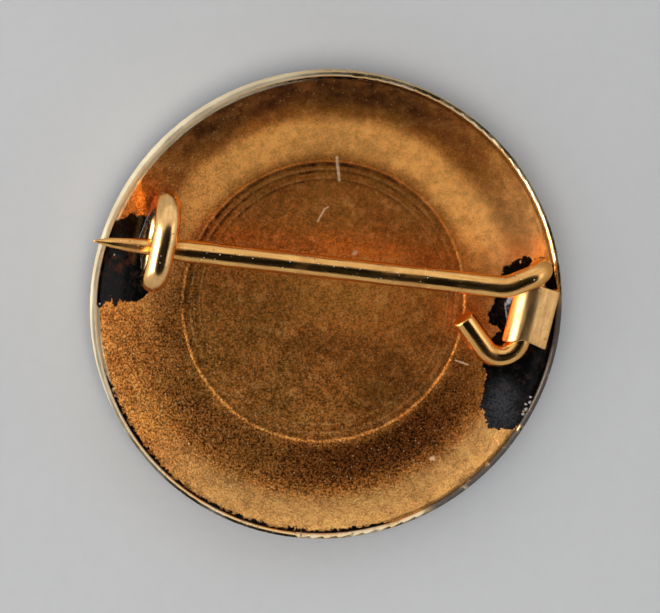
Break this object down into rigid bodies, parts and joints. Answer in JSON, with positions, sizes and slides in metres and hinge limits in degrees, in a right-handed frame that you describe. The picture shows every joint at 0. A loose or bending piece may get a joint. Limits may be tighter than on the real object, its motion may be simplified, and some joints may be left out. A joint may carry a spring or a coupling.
{
  "type": "pin badge",
  "caption": "Round dished pin badge, back up, with a wire pin hinged in a folded strip and held by a bent wire catch.",
  "frame": {"origin": "middle of the flat face of the front, on which the badge lies", "axes": "+Z out of the back, +X along the pin from its point to its hinge, +Y completes the frame"},
  "size_m": [0.0244, 0.024, 0.0058],
  "materials": {
    "badge_shell": "polished gilt edge",
    "front_center_enamel": "smooth glass enamel",
    "front_border_enamel": "smooth glass enamel",
    "back_coat": "gold lacquer, grainy, worn through to black",
    "hinge_knuckle": "bright gilt",
    "hinge_solder": "solder under black coat",
    "catch_wire": "bright gilt",
    "catch_solder": "solder under black coat",
    "pin_axle": "bright gilt",
    "pin_stem": "bright gilt"
  },
  "bodies": {
    "badge": {"badge_shell": "badge_shell", "front_center_enamel": "front_center_enamel", "front_border_enamel": "front_border_enamel", "back_coat": "back_coat", "hinge_knuckle": "hinge_knuckle", "hinge_solder": "hinge_solder", "catch_wire": "catch_wire", "catch_solder": "catch_solder"},
    "pin_root": {"pin_axle": "pin_axle"},
    "pin_point": {"pin_stem": "pin_stem"}
  },
  "joints": [
    {"name": "pin_swing", "type": "hinge", "parent": "badge", "child": "pin_root", "pos_m": [0.0101, 0.0007, 0.00258], "axis": [0.1045, 0.9945, 0], "range_deg": [0, 70]},
    {"name": "pin_flex", "type": "hinge", "parent": "pin_root", "child": "pin_point", "pos_m": [0.0077, 0.0023, 0.0041], "axis": [0, 0, 1], "range_deg": [0, 10], "stiffness_Nm_per_rad": 0.0005}
  ]
}
